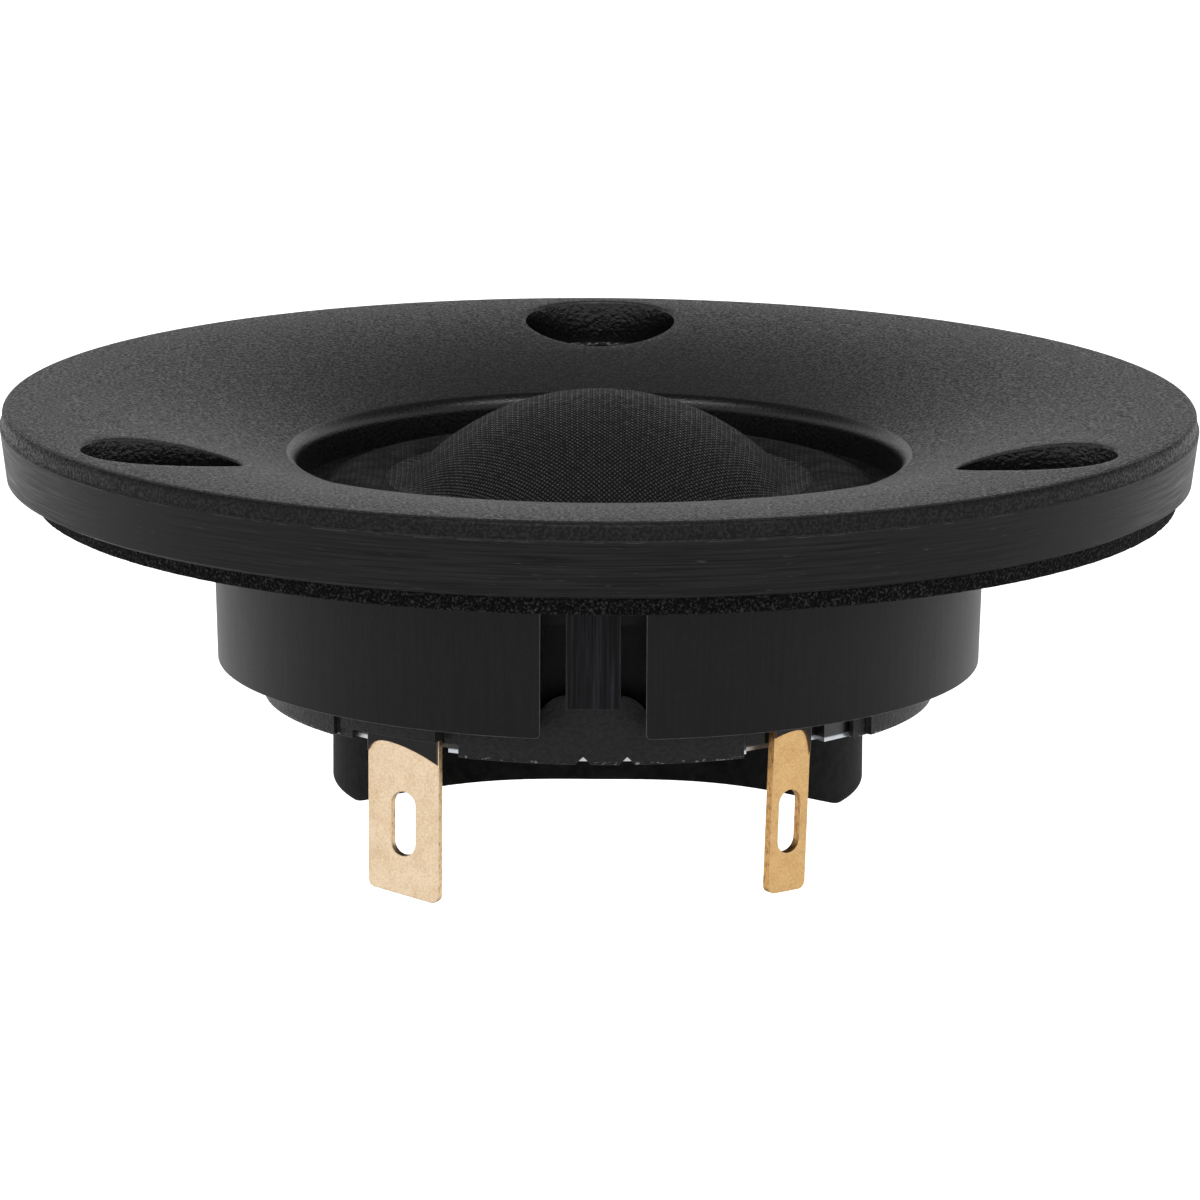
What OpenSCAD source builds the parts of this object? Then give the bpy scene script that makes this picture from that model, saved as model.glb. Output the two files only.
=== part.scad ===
// Car tweeter: 25 mm soft dome in a flush-mount faceplate with a rear chamber.
// Millimetres. The origin is the centre of the screw-hole circle on the rear face
// of the faceplate. +Z is the way the dome fires, and -Y is the terminal side.

/* [Faceplate] */
// Outer diameter of the faceplate
plate_d = 76; // [72:1:80]
// Height of the rim above the rear face
plate_h = 4.8; // [4.4:0.1:5.4]
// Diameter of the throat around the dome
throat_d = 38.6; // [38.2:0.1:39.4]
// Radius of the curve that the front face falls away on
horn_r = 48; // [44:1:54]
// Height of the part of the rim above its witness line
rim_band_h = 1.1; // [0.8:0.1:1.6]

/* [Screw holes] */
// Number of mounting screws
screw_count = 3; // [3:1:4]
// Diameter of the circle that the screws lie on
screw_pcd = 62.6; // [61:0.2:64]
// Diameter of each screw hole
screw_d = 4.2; // [3.2:0.1:4.6]
// Diameter of the recess for the screw head
head_d = 10; // [8:0.2:10.6]
// Thickness of material left under a screw head
head_floor = 1.8; // [1.4:0.1:2.4]

/* [Gasket] */
// Outer diameter of the foam gasket
gasket_d = 72.8; // [68:0.2:74]
// Thickness of the foam gasket
gasket_t = 1.2; // [0.8:0.1:2]

/* [Housing] */
// Diameter of the housing where it enters the cut-out
housing_d = 49.2; // [48.8:0.1:50]
// Diameter of the housing at its rear edge
housing_rear_d = 48.7; // [48.2:0.1:48.8]
// Depth of the housing behind the faceplate
housing_depth = 11.65; // [11:0.05:12.5]
// Width of the locating slot in the housing
slot_w = 6.5; // [5.6:0.1:7.2]
// Turn of the locating slot away from the terminal side
slot_turn = -0.7; // [-2:0.1:2]

/* [Terminals] */
// Width of the positive tab
tab_plus_w = 5; // [4.6:0.1:5.2]
// Width of the negative tab
tab_minus_w = 2.9; // [2.6:0.1:3]
// Thickness of both tabs
tab_t = 0.55; // [0.4:0.05:0.6]
// Depth of the tab tips behind the faceplate
tab_depth = 23; // [21:0.05:24]
// Angle of each tab around the axis, from the terminal side
tab_angle = 35; // [34:0.5:36]

/* [Rear chamber] */
// Outer diameter of the rear chamber
chamber_d = 34; // [32:0.5:35]
// Depth of the chamber's lobes behind the faceplate
chamber_depth = 19.8; // [19:0.1:21]
// Depth of the arch between the lobes
arch_depth = 15.85; // [15.6:0.05:16.4]

/* [Dome and voice coil] */
// Diameter of the voice coil former
coil_d = 25; // [24.8:0.1:25.2]
// Radius of the dome's sphere
dome_r = 16.1; // [15:0.1:18]
// Thickness of the coated dome fabric
fabric_t = 0.3; // [0.2:0.05:0.3]
// Travel of the dome each way
stroke = 0.5; // [0.3:0.1:0.5]

/* [Hidden] */

fine = 128;               // facets on visible round parts
small = 48;               // facets on holes and small round parts
eps = 0.01;               // overlap that keeps cuts clean
play = 0.1;               // gap between parts that are slipped together

// Faceplate
plate_r = plate_d / 2;
throat_r = throat_d / 2;
rim_fillet = 0.45;        // rounding of the front edge
crest_r = plate_r - 1;    // radius where the front face starts to fall
lip_fillet = 1.0;         // rounding where the front face turns into the throat
band_z = plate_h - rim_band_h;
edge_flare = 0.15;        // how far the rim is proud at the witness line
edge_draft = 0.42;        // how much the rim narrows from there to the rear
rear_chamfer = [0.6, 0.3];  // width and height of the bevel at the rear
gasket_shift = 0.4;       // how far off centre the foam is glued
hub_r = 21.3;             // outside of the hub that presses on the diaphragm
clamp_z = -0.8;           // rear end of the hub
head_z = head_floor;

// Motor stack, from the front to the rear
fabric_rim_t = 0.25;
ring_top_z = clamp_z - fabric_rim_t;
stack_top_z = -2.6;       // front of the top plate
top_plate_t = 2.8;
magnet_t = 5.15;
back_plate_t = 3.3;
top_plate_rear_z = stack_top_z - top_plate_t;
magnet_rear_z = top_plate_rear_z - magnet_t;
stack_rear_z = magnet_rear_z - back_plate_t;
coil_r = coil_d / 2;
former_t = 0.2;
winding_t = 0.45;
gap_play = 0.35;          // clearance each side of the moving coil
pole_r = coil_r - former_t - gap_play;
gap_outer_r = coil_r + winding_t + gap_play;
vent_r = 4;
top_plate_r = 20;
magnet_r = 19.6;
magnet_bore_r = 15;
back_plate_r = 20.6;

// Diaphragm
dome_base_z = -0.55;
dome_centre_z = dome_base_z - sqrt(dome_r * dome_r - coil_r * coil_r);
roll_outer_r = 18;        // foot of the surround's roll
roll_rise = 1.05;         // height of the roll over its two feet
ring_outer_r = 20.5;
coil_top_z = -2.4;
coil_h = 3.2;
former_rear_z = -5.9;

// Carrier and terminals
carrier_r = 21.4;
carrier_bore_r = 20.7;
carrier_rear_z = -13.9;
carrier_top_z = -1.3;
rib_w = 3.35;
rib_r = 24.25;            // outer face of the locating rib
rib_rear_z = -9.75;
window_z = -9.5;          // lower end of the two windows beside the rib
mound_w = 7;              // wider than the slot, so its flanks stay behind the housing
mound_fillet = 2;
tab_plus_turn = 28;       // plane of the positive tab, from the X axis
tab_minus_turn = 38;      // plane of the negative tab
tab_minus_lean = -2.7;    // the negative tab is bent a little towards the axis
tab_r = 20.85;            // middle of each tab from the axis
tab_slot_w = 1.7;
tab_slot_l = 4.1;
tab_plus_slot_z = -18.7;  // middle of each solder slot
tab_minus_slot_z = -18.45;
tab_corner = 0.5;
strip_w = 2;              // narrower strip that carries the tab up to the lead wire
strip_top_z = -1.5;
shoulder_z = -11;         // where the tab narrows to that strip
boss_plus = [-36, 19.4, -12.9];     // middle, span and rear end of the positive boss
boss_minus = [34.7, 11.4, -12.1];

// Rear chamber
chamber_r = chamber_d / 2;
chamber_wall = 1.2;
chamber_edge_r = 0.45;
arch_half_w = 15.5;       // half the width of the arch at the lobes
arch_power = 2.5;         // how square the arch is
seal_t = 0.5;

// Lead wires
lead_w = 0.8;
lead_t = 0.2;
lead_end_r = 20.05;

// ---------- shared shapes ----------

// Points of an arc about centre c, from angle a to angle b
function arc(c, r, a, b, n) =
    [for (i = [0 : n]) c + r * [cos(a + (b - a) * i / n), sin(a + (b - a) * i / n)]];

// A ring with square section between two heights
module ring(outer_r, inner_r, z0, z1, facets = fine) {
    translate([0, 0, z0])
        difference() {
            cylinder(r = outer_r, h = z1 - z0, $fn = facets);
            translate([0, 0, -eps])
                cylinder(r = inner_r, h = z1 - z0 + 2 * eps, $fn = facets);
        }
}

// Places its children at every mounting screw
module at_screws() {
    for (i = [0 : screw_count - 1])
        rotate([0, 0, 90 + i * 360 / screw_count])
            translate([screw_pcd / 2, 0, 0])
                children();
}

// Places its children in the plane of one tab, with +Y away from the axis
module at_tab(side, turn) {
    rotate([0, 0, -90 + side * tab_angle])
        translate([tab_r, 0, 0])
            rotate([0, 0, -90 + side * (turn - tab_angle)])
                children();
}

// A sector of angle span about the angle mid, measured from the terminal side
module sector(mid, span, radius, z0, z1) {
    reach = radius / cos(span / 2);
    translate([0, 0, z0])
        linear_extrude(z1 - z0)
            rotate([0, 0, mid - 90])
                polygon([[0, 0],
                         [reach * cos(span / 2), -reach * sin(span / 2)],
                         [reach * cos(span / 2), reach * sin(span / 2)]]);
}

// ---------- faceplate and gasket ----------

// Half section of the faceplate: rim, dished front face, rounded lip and throat
module faceplate_section() {
    horn_c = [crest_r, plate_h - horn_r];
    lip_x = throat_r + lip_fillet;
    lip_c = [lip_x, horn_c[1] + sqrt(pow(horn_r - lip_fillet, 2) - pow(crest_r - lip_x, 2))];
    lip_a = atan2(lip_c[1] - horn_c[1], lip_c[0] - horn_c[0]);
    polygon(concat(
        [[throat_r, clamp_z], [hub_r, clamp_z], [hub_r, 0]],
        [[plate_r + edge_flare - edge_draft - rear_chamfer[0], 0],
         [plate_r + edge_flare - edge_draft, rear_chamfer[1]],
         [plate_r + edge_flare, band_z - 0.1],
         [plate_r, band_z]],
        arc([plate_r - rim_fillet, plate_h - rim_fillet], rim_fillet, 0, 90, 8),
        arc(horn_c, horn_r, 90, lip_a, 28),
        arc(lip_c, lip_fillet, lip_a + 5, 180, 9)));
}

module faceplate() {
    color("#262627")
        difference() {
            rotate_extrude($fn = 180)
                faceplate_section();
            at_screws() {
                translate([0, 0, -eps])
                    cylinder(d = screw_d, h = plate_h + 1, $fn = small);
                translate([0, 0, head_z])
                    cylinder(d = head_d, h = plate_h, $fn = fine / 2);
            }
        }
}

module foam_gasket() {
    color("#191919")
        difference() {
            translate([gasket_shift, 0, -gasket_t])
                cylinder(d = gasket_d, h = gasket_t, $fn = fine);
            translate([0, 0, -gasket_t - eps])
                cylinder(r = housing_d / 2 + play, h = gasket_t + 1, $fn = fine);
            at_screws()
                translate([0, 0, -gasket_t - eps])
                    cylinder(d = screw_d + 0.6, h = gasket_t + 1, $fn = small);
        }
}

// ---------- housing and terminal carrier ----------

module housing() {
    neck_z = -gasket_t - 0.2;
    neck_r = housing_d / 2 - 0.6;
    register_h = 1.8;     // straight length that locates in the cut-out
    edge = 0.15;
    color("#383839")
        difference() {
            rotate_extrude($fn = fine)
                polygon([[carrier_r + play, 0],
                         [neck_r, 0],
                         [neck_r, neck_z],
                         [housing_d / 2, neck_z],
                         [housing_d / 2, neck_z - register_h],
                         [housing_rear_d / 2, -housing_depth + edge],
                         [housing_rear_d / 2 - edge, -housing_depth],
                         [carrier_r + play, -housing_depth]]);
            rotate([0, 0, slot_turn])
                translate([-slot_w / 2, -housing_d / 2 - 1, -housing_depth - eps])
                    cube([slot_w, housing_d / 2, housing_depth + 1]);
        }
}

// The round-shouldered mound that shows below the rib in the housing's slot
module mound_outline() {
    half = mound_w / 2;
    base_z = -housing_depth - 0.7;
    polygon(concat(
        [[-half, base_z], [half, base_z]],
        arc([half - mound_fillet, window_z - mound_fillet], mound_fillet, 0, 90, 8),
        arc([-half + mound_fillet, window_z - mound_fillet], mound_fillet, 90, 180, 8)));
}

module terminal_carrier() {
    gap_web = 0.35;       // depth of the gaps in the ring's outer face
    gap_rear_z = -13.2;
    boss_r = 22.4;
    band = 1;             // height of the ring left above the windows
    color("#303031")
        difference() {
            union() {
                difference() {
                    ring(carrier_r, carrier_bore_r, carrier_rear_z, carrier_top_z);
                    sector(slot_turn, 24, carrier_r + 1, -housing_depth - 0.3, carrier_top_z - band);
                    for (under_boss = [[-36.75, 20.1, boss_plus[2]], [39.5, 20, boss_minus[2]]])
                        sector(under_boss[0], under_boss[1], carrier_r + 1, carrier_rear_z - 1,
                               max(under_boss[2], -12.7) + 0.2);
                }
                intersection() {
                    ring(carrier_r, carrier_bore_r, carrier_rear_z + 0.5, carrier_top_z - band - 1);
                    rotate([0, 0, slot_turn])
                        rotate([90, 0, 0])
                            linear_extrude(carrier_r + 1)
                                mound_outline();
                }
                rotate([0, 0, slot_turn])
                    translate([-rib_w / 2, -rib_r, rib_rear_z])
                        cube([rib_w, rib_r - carrier_bore_r - 0.15, -gasket_t - 0.05 - rib_rear_z]);
                for (boss = [boss_plus, boss_minus])
                    intersection() {
                        ring(boss_r, carrier_bore_r, boss[2], -housing_depth - 0.05);
                        sector(boss[0], boss[1], boss_r + 1, boss[2] - 1, -housing_depth + 1);
                    }
            }
            for (gap = [[-25.3, 3], [27.4, 4.6], [-48.4, 4.4], [50.7, 5.2]])
                difference() {
                    sector(gap[0], gap[1], carrier_r + 2, carrier_rear_z - 1, -housing_depth - 0.1);
                    cylinder(r = carrier_r - gap_web, h = 80, center = true, $fn = fine);
                }
            for (gap = [[-25.3, 3], [27.4, 4.6]])
                sector(gap[0], gap[1], carrier_r + 2, carrier_rear_z - 1, gap_rear_z);
            rear_notch(-2.4);
            rear_notch(4.9);
            tab_pocket(-1, tab_plus_turn, tab_plus_w);
            tab_pocket(1, tab_minus_turn, tab_minus_w);
        }
}

// V notch in the rear edge of the carrier's ring
module rear_notch(turn) {
    half = 0.5;
    rotate([0, 0, turn])
        translate([0, -carrier_r + 2, carrier_rear_z])
            rotate([90, 0, 0])
                linear_extrude(4)
                    polygon([[-1.4 * half, -0.4 * half], [1.4 * half, -0.4 * half], [0, half]]);
}

// Snug slot for a tab in its boss, and an open slot for its strip above
module tab_pocket(side, turn, width) {
    open_depth = 4;
    at_tab(side, turn) {
        translate([-width / 2 - play, -tab_t / 2 - play, carrier_rear_z - 1])
            cube([width + 2 * play, tab_t + 2 * play, 5]);
        translate([-width / 2 - play, -open_depth / 2, -housing_depth + 0.4])
            cube([width + 2 * play, open_depth, housing_depth]);
    }
}

// ---------- terminals ----------

// Bends its children about the root of a tab
module at_blade(lean, root_z) {
    translate([0, 0, root_z])
        rotate([lean, 0, 0])
            translate([0, 0, -root_z])
                children();
}

// Outline of a tab seen square on: rounded tip, solder slot, narrow strip above.
// The tip is cut out of square by skew
module tab_outline(width, slot_z, skew) {
    half = width / 2;
    slot_r = tab_slot_w / 2;
    slot_reach = tab_slot_l / 2 - slot_r;
    difference() {
        polygon(concat(
            arc([-half + tab_corner, -tab_depth - skew + tab_corner], tab_corner, 180, 270, 6),
            arc([half - tab_corner, -tab_depth + tab_corner], tab_corner, 270, 360, 6),
            [[half, shoulder_z], [strip_w / 2, shoulder_z], [strip_w / 2, strip_top_z],
             [-strip_w / 2, strip_top_z], [-strip_w / 2, shoulder_z], [-half, shoulder_z]]));
        translate([0, slot_z + slot_reach])
            circle(r = slot_r, $fn = small);
        translate([0, slot_z - slot_reach])
            circle(r = slot_r, $fn = small);
        translate([-slot_r, slot_z - slot_reach])
            square([tab_slot_w, 2 * slot_reach]);
    }
}

// Plate of the tab's thickness, standing in the tab's plane
module tab_plate() {
    translate([0, tab_t / 2, 0])
        rotate([90, 0, 0])
            linear_extrude(tab_t)
                children();
}

module terminal_positive() {
    color("#e0bd94")
        at_tab(-1, tab_plus_turn)
            tab_plate()
                tab_outline(tab_plus_w, tab_plus_slot_z, 0.55);
}

module terminal_negative() {
    root_z = boss_minus[2];
    reach = 30;
    color("#d4ab70")
        at_tab(1, tab_minus_turn) {
            tab_plate()
                intersection() {
                    tab_outline(tab_minus_w, tab_minus_slot_z, 0);
                    translate([-reach / 2, root_z])
                        square(reach);
                }
            at_blade(tab_minus_lean, root_z)
                tab_plate()
                    intersection() {
                        tab_outline(tab_minus_w, tab_minus_slot_z, 0);
                        translate([-reach / 2, root_z - reach + eps])
                            square(reach);
                    }
        }
}

// Black sealant brushed over the root of a tab. Its lower edge runs at reach below the
// boss, with an extra run at each end: [depth, how closely it hugs the edge]
module sealant_patch(width, top_z, reach, first_run, last_run) {
    coat = 0.12;
    half = width / 2;
    steps = 20;
    translate([0, tab_t / 2 + coat, 0])
        rotate([90, 0, 0])
            linear_extrude(coat)
                polygon(concat(
                    [[half, top_z], [-half, top_z]],
                    [for (i = [0 : steps])
                        let (u = i / steps)
                        [-half + width * u,
                         top_z - reach - first_run[0] * pow(1 - u, first_run[1])
                         - last_run[0] * pow(u, last_run[1])]]));
}

module terminal_sealant() {
    color("#1c1c1c") {
        at_tab(-1, tab_plus_turn)
            sealant_patch(tab_plus_w, boss_plus[2], 0.5, [1.3, 2], [0.9, 12]);
        at_tab(1, tab_minus_turn)
            at_blade(tab_minus_lean, boss_minus[2])
                sealant_patch(tab_minus_w, boss_minus[2] - 0.02, 0.45, [1.9, 10], [0.35, 3]);
    }
}

// ---------- motor ----------

module back_plate() {
    tab_relief = 1.2;
    color("#b9bcc0")
        difference() {
            ring(back_plate_r, vent_r, stack_rear_z, magnet_rear_z);
            for (side = [-1, 1])
                at_tab(side, side < 0 ? tab_plus_turn : tab_minus_turn)
                    translate([-tab_plus_w / 2 - 0.5, -tab_relief, stack_rear_z - 1])
                        cube([tab_plus_w + 1, 2 * tab_relief, back_plate_t + 2]);
        }
}

module pole_piece() {
    color("#a9acb0")
        ring(pole_r, vent_r, magnet_rear_z, stack_top_z);
}

module magnet() {
    color("#3a3b3f")
        ring(magnet_r, magnet_bore_r, magnet_rear_z, top_plate_rear_z);
}

module top_plate() {
    color("#a9acb0")
        ring(top_plate_r, gap_outer_r, top_plate_rear_z, stack_top_z);
}

module pole_felt() {
    felt_t = 0.8;
    color("#4a4a4a")
        ring(pole_r - 1, vent_r, stack_top_z, stack_top_z + felt_t);
}

// ---------- rear chamber ----------

// Height of the arch at a distance x from the middle, raised by lift
function arch_z(x, lift) =
    -arch_depth + lift - (chamber_depth - arch_depth) * pow(abs(x) / arch_half_w, arch_power);

// Everything above the arch, seen along Y
module arch_outline(lift, top_z) {
    steps = 40;
    reach = chamber_r + 1;
    polygon(concat(
        [[reach, top_z], [-reach, top_z]],
        [for (i = [0 : steps])
            let (x = -reach + 2 * reach * i / steps)
            [x, arch_z(x, lift)]]));
}

// A cup with a rounded rear edge, relieved by the arch
module chamber_form(radius, rear_z, edge, lift, top_z) {
    intersection() {
        rotate_extrude($fn = fine)
            polygon(concat(
                [[0, top_z], [0, rear_z]],
                arc([radius - edge, rear_z + edge], edge, 270, 360, 8),
                [[radius, top_z]]));
        rotate([90, 0, 0])
            translate([0, 0, -chamber_r - 1])
                linear_extrude(2 * chamber_r + 2)
                    arch_outline(lift, top_z);
    }
}

module chamber_seal() {
    color("#151515")
        ring(chamber_r - 0.6, chamber_r - 2.6, stack_rear_z - seal_t, stack_rear_z);
}

module rear_chamber() {
    top_z = stack_rear_z - seal_t;
    color("#161616")
        difference() {
            chamber_form(chamber_r, -chamber_depth, chamber_edge_r, 0, top_z);
            chamber_form(chamber_r - chamber_wall, -chamber_depth + chamber_wall, 0.4,
                         chamber_wall, top_z + eps);
        }
}

module chamber_wadding() {
    top_z = stack_rear_z - seal_t;
    inset = chamber_wall + play;
    color("#d8d6cf")
        chamber_form(chamber_r - inset, -chamber_depth + inset, 0.3, inset, top_z);
}

// ---------- diaphragm ----------

module diaphragm_ring() {
    lead_gap = 1.2;
    color("#2a2a2a")
        difference() {
            ring(ring_outer_r, roll_outer_r, stack_top_z, ring_top_z);
            for (side = [-1, 1])
                rotate([0, 0, side * tab_angle])
                    translate([-lead_gap / 2, -ring_outer_r - 1, stack_top_z - 1])
                        cube([lead_gap, 4, 2]);
        }
}

// Half section of the roll: two concentric arcs joined to a flat rim
module surround() {
    chord_half = (roll_outer_r - coil_r) / 2;
    roll_r = (chord_half * chord_half + roll_rise * roll_rise) / (2 * roll_rise);
    half_a = asin(chord_half / roll_r);
    centre = [coil_r + chord_half, clamp_z + roll_rise - roll_r];
    color("#1d1d1d")
        rotate_extrude($fn = fine)
            polygon(concat(
                [[coil_r, clamp_z - fabric_rim_t]],
                arc(centre, roll_r - fabric_rim_t, 90 + half_a - 2, 90 - half_a + 2, 16),
                [[roll_outer_r, clamp_z - fabric_rim_t], [ring_outer_r, clamp_z - fabric_rim_t],
                 [ring_outer_r, clamp_z]],
                arc(centre, roll_r, 90 - half_a, 90 + half_a, 18)));
}

module dome() {
    inner_r = dome_r - fabric_t;
    base_a = asin((dome_base_z - dome_centre_z) / dome_r);
    inner_a = asin((dome_base_z - dome_centre_z) / inner_r);
    color("#1b1b1b")
        rotate_extrude($fn = fine)
            polygon(concat(
                arc([0, dome_centre_z], dome_r, base_a, 90, 24),
                arc([0, dome_centre_z], inner_r, 90, inner_a, 24)));
}

module coil_former() {
    color("#c9ccd0")
        ring(coil_r, coil_r - former_t, former_rear_z, dome_base_z);
}

module voice_coil() {
    color("#b5723a")
        ring(coil_r + winding_t, coil_r, coil_top_z - coil_h, coil_top_z);
}

// Flat flexible lead from the coil, under the roll, to the terminal strip
module lead_wire(side) {
    route = [[coil_r + winding_t, -2.2], [13.3, -1.5], [14.2, -1.1], [15.4, -0.95],
             [16.6, -1.25], [17.6, -1.75], [18.4, -1.95], [lead_end_r, -1.95]];
    last = len(route) - 1;
    color("#c98f5a")
        rotate([0, 0, side * tab_angle])
            translate([lead_w / 2, 0, 0])
                rotate([90, 0, -90])
                    linear_extrude(lead_w)
                        polygon(concat(
                            [for (i = [0 : last]) route[i] + [0, lead_t / 2]],
                            [for (i = [0 : last]) route[last - i] - [0, lead_t / 2]]));
}

module lead_wire_positive() {
    lead_wire(-1);
}

module lead_wire_negative() {
    lead_wire(1);
}

// Solder that joins the lead wire to the inner face of the terminal strip
module solder(side, turn) {
    joint_z = -1.95;
    color("#c3c6c9")
        at_tab(side, turn)
            translate([0, -tab_t / 2, joint_z])
                rotate([90, 0, 0])
                    cylinder(r1 = 0.32, r2 = 0.2, h = 0.4, $fn = small);
}

module solder_positive() {
    solder(-1, tab_plus_turn);
}

module solder_negative() {
    solder(1, tab_minus_turn);
}

faceplate();
foam_gasket();
housing();
terminal_carrier();
terminal_positive();
terminal_negative();
terminal_sealant();
back_plate();
pole_piece();
magnet();
top_plate();
pole_felt();
chamber_seal();
rear_chamber();
chamber_wadding();
diaphragm_ring();
surround();
dome();
coil_former();
voice_coil();
lead_wire_positive();
lead_wire_negative();
solder_positive();
solder_negative();
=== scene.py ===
import math
from bisect import bisect_right

import bmesh
import bpy
from bpy.props import FloatProperty, FloatVectorProperty, IntProperty, PointerProperty
from mathutils import Matrix, Vector, noise


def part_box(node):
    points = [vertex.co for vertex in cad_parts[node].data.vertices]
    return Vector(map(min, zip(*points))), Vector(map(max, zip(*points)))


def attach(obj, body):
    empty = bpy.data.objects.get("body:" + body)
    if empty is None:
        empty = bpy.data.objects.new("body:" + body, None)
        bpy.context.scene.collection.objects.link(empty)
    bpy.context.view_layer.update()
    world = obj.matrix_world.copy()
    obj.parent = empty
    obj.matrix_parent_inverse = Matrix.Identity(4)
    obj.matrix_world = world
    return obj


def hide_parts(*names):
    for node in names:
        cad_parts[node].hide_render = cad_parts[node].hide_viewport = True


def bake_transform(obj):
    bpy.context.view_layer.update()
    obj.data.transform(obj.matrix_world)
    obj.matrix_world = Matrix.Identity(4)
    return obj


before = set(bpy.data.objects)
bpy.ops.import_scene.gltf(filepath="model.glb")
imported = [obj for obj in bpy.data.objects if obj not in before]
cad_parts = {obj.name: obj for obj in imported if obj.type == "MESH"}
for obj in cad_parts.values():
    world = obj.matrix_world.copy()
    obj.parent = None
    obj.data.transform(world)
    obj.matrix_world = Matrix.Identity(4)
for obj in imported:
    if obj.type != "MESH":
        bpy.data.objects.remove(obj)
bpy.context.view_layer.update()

bl_info = {
    "name": "Car Tweeter",
    "version": (1, 0, 0),
    "blender": (4, 5, 0),
    "location": "View3D > Sidebar > Tweeter",
    "description": "Builds the visible pieces of a flush-mount soft-dome car tweeter",
    "category": "Object",
}

MM = 0.001
SAME_POINT = 1e-7  # metres; closer points are merged
WHITE = (1, 1, 1, 1)


# ---------- colour and size settings ----------

def paint(code):
    """An sRGB hex colour as linear red, green, blue and alpha."""
    shares = [int(code[i:i + 2], 16) / 255 for i in (1, 3, 5)]
    return [s / 12.92 if s <= 0.04045 else ((s + 0.055) / 1.055) ** 2.4 for s in shares] + [1.0]


def length(name, description, default):
    return FloatProperty(name=name, description=description, default=default, min=0.0,
                         unit="LENGTH", subtype="DISTANCE", precision=5)


def colour(name, description, code):
    return FloatVectorProperty(name=name, description=description, default=paint(code),
                               size=4, min=0.0, max=1.0, subtype="COLOR")


class TweeterSizes(bpy.types.PropertyGroup):
    """Sizes of the new pieces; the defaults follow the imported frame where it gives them"""
    rim_radius: length("Rim radius", "Radius of the faceplate at its widest line",
                       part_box("faceplate")[1].x)
    plate_top: length("Rim height", "Height of the rim above the rear face",
                      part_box("faceplate")[1].z)
    throat_radius: length("Throat radius", "Radius of the opening around the dome", 19.3 * MM)
    dish_radius: length("Dish radius", "Radius of the curve of the front face", 48 * MM)
    lip_radius: length("Lip radius", "Rounding of the lip around the throat", 1.0 * MM)
    seat_radius: length("Screw seat radius", "Radius of the recess for a screw head", 5.0 * MM)
    seat_floor: length("Screw seat floor", "Height of the floor of that recess", 1.8 * MM)
    screw_circle: length("Screw circle", "Radius of the circle the screws lie on", 31.3 * MM)
    dome_radius: length("Dome radius", "Radius of the dome's sphere", 16.1 * MM)
    thread_pitch: length("Thread pitch", "Spacing of the threads in the dome's cloth", 0.25 * MM)
    foam_grain: length("Foam grain", "Depth of the open cells in the foam's edge", 0.05 * MM)
    surround_sectors: IntProperty(name="Surround sectors", default=12, min=6, max=48,
                                  description="Pieces the surround is divided into, to flex")


class TweeterColours(bpy.types.PropertyGroup):
    """Colours of the finishes"""
    plate: colour("Faceplate", "Black of the faceplate's moulded ABS", "#0a0a0b")
    plate_speck: colour("Faceplate grain", "Light side of the faceplate's grain", "#262627")
    foam: colour("Foam", "Black of the closed-cell foam", "#050505")
    foam_wall: colour("Foam cell walls", "Torn walls of the foam's cells", "#3e3e3e")
    housing: colour("Housing", "Dark grey of the housing", "#101011")
    housing_line: colour("Housing lines", "Light side of the housing's flow lines", "#19191a")
    carrier: colour("Carrier", "Dark grey of the terminal carrier", "#262626")
    chamber: colour("Rear chamber", "Black of the rear chamber", "#060606")
    gold_pale: colour("Pale gold", "Plating of the wide tab", "#e1ccaf")
    gold_deep: colour("Deep gold", "Plating of the narrow tab", "#cfab77")
    lacquer: colour("Lacquer", "Black sealing lacquer", "#0b0b0c")
    cloth: colour("Cloth", "Ground colour of the dome's cloth", "#020202")
    # The crowns' colour is a painted sheen on the tops of the threads
    cloth_crown_sheen: colour("Cloth crown sheen", "Colour of the tops of the threads", "#4c4c50")


# ---------- mesh helpers ----------

def arc(centre, radius, start, end, steps):
    """Points of an arc in the half section, from angle start to end in degrees."""
    turns = [math.radians(start + (end - start) * i / steps) for i in range(steps + 1)]
    return [(centre[0] + radius * math.cos(t), centre[1] + radius * math.sin(t)) for t in turns]


def curve_between(start, leave, end, land, steps):
    """A curve that leaves one arc and lands on another, each at its own angle in degrees."""
    lean, rise = math.radians(leave), math.radians(land)
    out, back = (math.sin(lean), -math.cos(lean)), (math.sin(rise), -math.cos(rise))
    across = (end[0] - start[0], end[1] - start[1])
    reach = (across[0] * back[1] - across[1] * back[0]) / (out[0] * back[1] - out[1] * back[0])
    corner = (start[0] + reach * out[0], start[1] + reach * out[1])
    made = []
    for t in (i / steps for i in range(steps + 1)):
        a, b, c = (1 - t) ** 2, 2 * t * (1 - t), t * t
        made.append(tuple(a * start[i] + b * corner[i] + c * end[i] for i in (0, 1)))
    return made


def lay_threads(bm, skin, pitch):
    """Lays threads at 45 degrees, one unit apart, by distance along the skin from its middle."""
    reach, run = 0.0, [(0.0, 0.0)]
    for a, b in zip(skin, skin[1:]):
        reach += math.dist(a, b)
        run.append((b[0], reach))
    turn = Matrix.Rotation(math.pi / 4, 2)
    threads = bm.loops.layers.uv.new("threads")
    for v in bm.verts:
        out = v.co.xy.length
        i = min(max(bisect_right(run, out, key=lambda point: point[0]), 1), len(run) - 1)
        (r0, s0), (r1, s1) = run[i - 1], run[i]
        along = s0 + (s1 - s0) * min((out - r0) / (r1 - r0), 1)
        place = turn @ v.co.xy * (along / out if out > SAME_POINT else 0) / pitch
        for loop in v.link_loops:
            loop[threads].uv = place


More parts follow.
